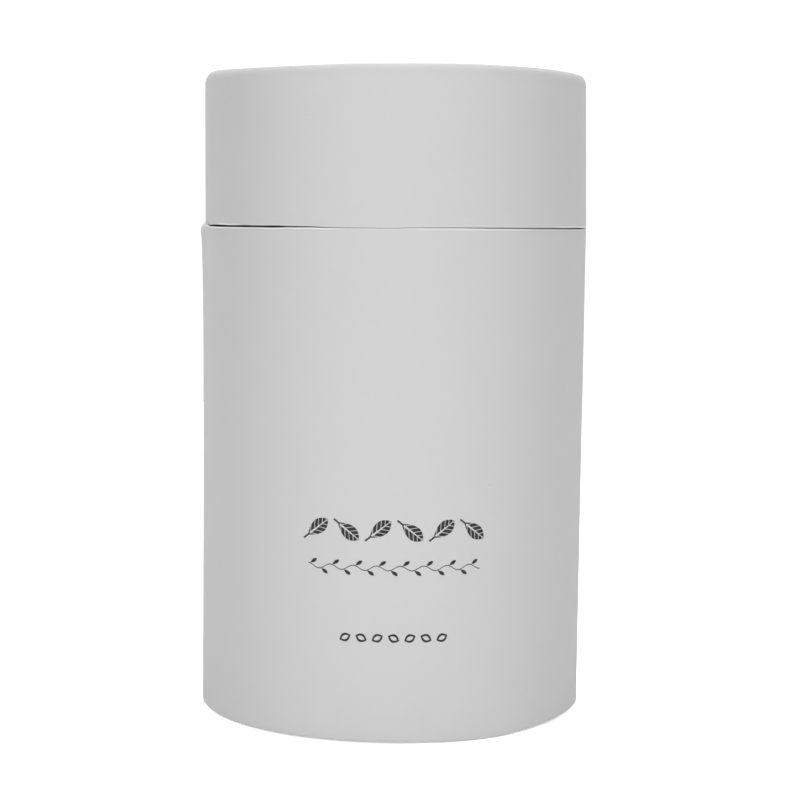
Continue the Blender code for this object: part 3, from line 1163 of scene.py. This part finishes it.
def wrapped_fit(fit):
    """What both wrapped pieces take from the fit."""
    names = ("lap_width", "lap_step", "seam_height", "seam_wave", "seam_ripple", "crease")
    return {name: getattr(fit, name) for name in names}


def lid_lean(fit):
    """How the lid sits on its neck, for each piece of the lid."""
    return {
        "shift": fit.lid_shift,
        "lean": fit.lid_lean,
        "lean_from": LID_MOUTH,
        "rim_wave": fit.rim_wave,
        "rim_height": TOP - LID_MOUTH,
    }


class PieceOperator:
    """Builds a finished piece and puts it on the canister's one body, in place of its solid."""

    def execute(self, context):
        piece = self.build(context.scene.canister_sizes, context.scene.canister_fit)
        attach(piece, "root")
        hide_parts(self.node)
        return {"FINISHED"}


class CANISTER_OT_body_tube(PieceOperator, bpy.types.Operator):
    """Build the printed outer tube with its rolled foot and bent lip"""

    bl_idname = "canister.body_tube"
    bl_label = "Body Tube"
    node, slot = "body_tube", "body_wrap"

    def build(self, sizes, fit):
        return turned(
            "wrapped_body",
            body_section(sizes),
            wrap_paper("printed wrap", fit.body_lap_turn, BODY_WORN, printed=True),
            lip_turn=fit.lip_turn,
            lip_spread=fit.lip_spread,
            shift=fit.foot_shift,
            lean=fit.body_lean,
            foot_lift=fit.foot_lift,
            lap_turn=fit.body_lap_turn,
            mouth_height=BODY_MOUTH,
            seam_half_gap=fit.seam_gap * -0.5,
            unevenness=BODY_UNEVENNESS,
            seed=3.0,
            **wrapped_fit(fit),
        )


class CANISTER_OT_neck(PieceOperator, bpy.types.Operator):
    """Build the spirally wound inner tube whose top is the neck"""

    bl_idname = "canister.neck"
    bl_label = "Neck"
    node, slot = "inner_tube", "neck_liner"

    def build(self, sizes, fit):
        return turned(
            "wound_neck",
            neck_section(sizes),
            liner_paper("white liner"),
            winding=1.0 / climb(fit.ply_width, FULL_TURN * NECK_RADIUS),
            winding_joint=fit.ply_gap,
            unevenness=UNEVENNESS,
            seed=11.0,
        )


class CANISTER_OT_base(PieceOperator, bpy.types.Operator):
    """Build the pressed board disc that closes the foot"""

    bl_idname = "canister.base"
    bl_label = "Base"
    node, slot = "base_disc", "base_board"

    def build(self, sizes, fit):
        section = disc_section(BASE_LOW, BASE_HIGH, sizes, -1, bare_top=1.0)
        return turned("board_base", section, disc_board("grey board", faced=False))


class CANISTER_OT_lid(PieceOperator, bpy.types.Operator):
    """Build the wrapped slip lid with its rolled rim"""

    bl_idname = "canister.lid"
    bl_label = "Lid"
    node, slot = "lid_tube", "lid_wrap"

    def build(self, sizes, fit):
        return turned(
            "wrapped_lid",
            lid_section(sizes),
            wrap_paper("plain wrap", fit.lid_lap_turn, LID_WORN),
            lap_turn=fit.lid_lap_turn,
            mouth_height=LID_MOUTH,
            seam_half_gap=fit.seam_gap * 0.5,
            unevenness=UNEVENNESS,
            seed=7.0,
            **wrapped_fit(fit),
            **lid_lean(fit),
        )


class CANISTER_OT_lid_disc(PieceOperator, bpy.types.Operator):
    """Build the papered disc under the lid's rolled rim"""

    bl_idname = "canister.lid_disc"
    bl_label = "Lid Disc"
    node, slot = "lid_disc", "lid_board"

    def build(self, sizes, fit):
        section = disc_section(LID_DISC_LOW, LID_DISC_HIGH, sizes, 1, bare_top=0.0)
        material = disc_board("papered board", faced=True)
        return turned("papered_lid_disc", section, material, **lid_lean(fit))


# ---------------------------------------------------------------- Studio

FLOOR_RADIUS = 0.6
FLOOR_SEGMENTS = 96
LENS = 89.02
SENSOR = 36.0
CAMERA_PLACE = (0.0, -0.3814, 0.09444)
CAMERA_PITCH = math.radians(-5.420)
CAMERA_YAW = math.radians(-0.195)
CAMERA_ROLL = math.radians(0.635)
FLOOR_WHITE = (0.87, 0.87, 0.87)
FLOOR_SHADE = (0.85, 0.85, 0.85)
WHITE = (1.0, 1.0, 1.0, 1.0)
BACKDROP = 1.1  # how bright the surroundings look to the camera
# Name, place, width and height of each light. The studio's setting of that name holds its power.
LIGHTS = (
    ("tent light", (0.0, 0.0, 1.3), 2.6, 2.6),
    ("top light", (0.0, 0.0, 0.8), 0.8, 0.8),
    ("front light", (0.0, -1.0, 0.65), 0.5, 0.5),
    ("left light", (-0.643, 0.766, 0.3), 0.5, 0.7),
    ("right light", (0.643, 0.766, 0.3), 0.5, 0.7),
)


def make_floor(glow):
    """A round white floor. It glows to the camera, as a lit table does, and lights nothing with it."""
    mesh = bpy.data.meshes.new("floor")
    build = bmesh.new()
    bmesh.ops.create_circle(build, cap_ends=True, radius=FLOOR_RADIUS, segments=FLOOR_SEGMENTS)
    build.to_mesh(mesh)
    build.free()
    floor = bpy.data.objects.new("floor", mesh)
    bpy.context.scene.collection.objects.link(floor)

    surface = Surface("pale floor", roughness=0.9)
    graph = surface.graph
    grain = (graph.noise(surface.place, scale=900.0) - 0.5) * 0.2
    tone = graph.limited(graph.noise(surface.place, scale=14.0, detail=3.0) * 0.5 + grain)
    seen = graph.field(graph.add("ShaderNodeLightPath"), "Is Camera Ray")
    surface.shader.inputs["Emission Color"].default_value = WHITE
    graph.plug(seen * glow, surface.shader.inputs["Emission Strength"])
    colour = graph.mixed(tone, FLOOR_WHITE, FLOOR_SHADE)
    floor.data.materials.append(surface.finish(colour, 0.5 + grain))


def make_world(sky):
    """White surroundings: they light the canister softly and look white to the camera."""
    world = bpy.data.worlds.new("studio")
    world.use_nodes = True
    tree = world.node_tree
    tree.nodes.clear()
    graph = Graph(tree)
    soft = graph.add("ShaderNodeBackground", {"Color": WHITE, "Strength": sky})
    white = graph.add("ShaderNodeBackground", {"Color": WHITE, "Strength": BACKDROP})
    seen = graph.add("ShaderNodeLightPath").outputs["Is Camera Ray"]
    both = graph.add("ShaderNodeMixShader", {0: seen, 1: soft.outputs[0], 2: white.outputs[0]})
    graph.add("ShaderNodeOutputWorld", {"Surface": both.outputs[0]})
    bpy.context.scene.world = world


def soft_light(name, place, width, height, energy):
    """A soft rectangular light that faces the canister's middle."""
    data = bpy.data.lights.new(name, "AREA")
    data.shape = "RECTANGLE"
    data.size = width
    data.size_y = height
    data.energy = energy
    light = bpy.data.objects.new(name, data)
    light.location = place
    towards = Vector((0.0, 0.0, TOP / 2)) - Vector(place)
    light.rotation_euler = towards.to_track_quat("-Z", "Y").to_euler()
    light.visible_camera = False
    bpy.context.scene.collection.objects.link(light)


def make_camera():
    """The photograph's view: a long lens near the height of the seam, looking slightly down."""
    data = bpy.data.cameras.new("camera")
    data.sensor_width = SENSOR
    data.sensor_fit = "HORIZONTAL"
    data.lens = LENS
    data.clip_start = 0.01
    camera = bpy.data.objects.new("camera", data)
    yaw = Matrix.Rotation(CAMERA_YAW, 4, "Z")
    pitch = Matrix.Rotation(math.pi / 2 + CAMERA_PITCH, 4, "X")
    roll = Matrix.Rotation(CAMERA_ROLL, 4, "Z")
    camera.matrix_world = Matrix.Translation(CAMERA_PLACE) @ yaw @ pitch @ roll
    bpy.context.scene.collection.objects.link(camera)
    bpy.context.scene.camera = camera


class CANISTER_OT_studio(bpy.types.Operator):
    """Build the floor, the soft lights and the camera"""

    bl_idname = "canister.studio"
    bl_label = "Studio"

    def execute(self, context):
        studio = context.scene.canister_studio
        make_floor(studio.floor_glow)
        make_world(studio.sky)
        for name, place, width, height in LIGHTS:
            soft_light(name, place, width, height, getattr(studio, name.replace(" ", "_")))
        make_camera()
        context.scene.view_settings.view_transform = "Standard"
        return {"FINISHED"}


# ---------------------------------------------------------------- Add-on


class CANISTER_PT_tools(bpy.types.Panel):
    """The canister's pieces and their settings"""

    bl_idname = "CANISTER_PT_tools"
    bl_label = "Paper Tube Canister"
    bl_space_type = "VIEW_3D"
    bl_region_type = "UI"
    bl_category = "Canister"

    def draw(self, context):
        for operator in OPERATORS:
            self.layout.operator(operator.bl_idname)
        for name, group in GROUPS.items():
            box = self.layout.box()
            for setting in group.__annotations__:
                box.prop(getattr(context.scene, name), setting)


OPERATORS = (
    CANISTER_OT_body_tube,
    CANISTER_OT_neck,
    CANISTER_OT_base,
    CANISTER_OT_lid,
    CANISTER_OT_lid_disc,
    CANISTER_OT_studio,
)


def register():
    for group in GROUPS.values():
        for name, setting in group.__annotations__.items():
            setting.keywords["name"] = name.replace("_", " ").title()
    for group in (*GROUPS.values(), *OPERATORS, CANISTER_PT_tools):
        bpy.utils.register_class(group)
    for name, group in GROUPS.items():
        setattr(bpy.types.Scene, name, PointerProperty(type=group))


def unregister():
    for name in GROUPS:
        delattr(bpy.types.Scene, name)
    for group in (CANISTER_PT_tools, *reversed(OPERATORS), *GROUPS.values()):
        bpy.utils.unregister_class(group)


def main():
    register()
    bpy.ops.canister.body_tube()
    bpy.ops.canister.neck()
    bpy.ops.canister.base()
    bpy.ops.canister.lid()
    bpy.ops.canister.lid_disc()
    bpy.ops.canister.studio()


if __name__ == "__main__":
    main()
